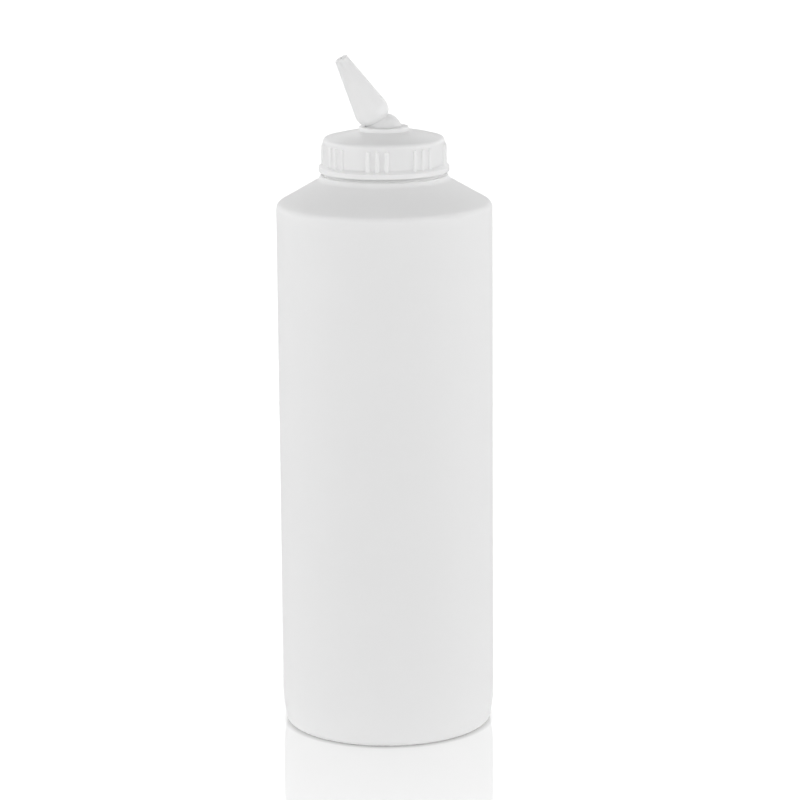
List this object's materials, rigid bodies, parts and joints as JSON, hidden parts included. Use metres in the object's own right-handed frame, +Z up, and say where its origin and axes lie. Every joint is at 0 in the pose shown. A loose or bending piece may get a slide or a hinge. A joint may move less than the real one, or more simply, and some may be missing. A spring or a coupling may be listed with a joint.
{
  "type": "squeeze bottle",
  "caption": "Tall round squeeze bottle with a sloping shoulder, ribbed screw cap and a tapered nozzle that tilts in a ball socket.",
  "frame": {"origin": "middle of the standing ring, on the surface the bottle stands on", "axes": "+Z up along the bottle's axis, -Y to the front, +X to the right seen from the front; the nozzle leans to -X"},
  "size_m": [0.08, 0.08, 0.2531],
  "materials": {
    "bottle_plastic": "satin",
    "cap_plastic": "satin",
    "nozzle_plastic": "satin"
  },
  "bodies": {
    "bottle": {"bottle": "bottle_plastic", "cap": "cap_plastic"},
    "nozzle": {"nozzle": "nozzle_plastic"}
  },
  "joints": [
    {"name": "nozzle_tilt", "type": "hinge", "parent": "bottle", "child": "nozzle", "pos_m": [0, 0, 0.22437], "axis": [-0.2079, 0.9781, 0], "range_deg": [0, 59.5]}
  ]
}
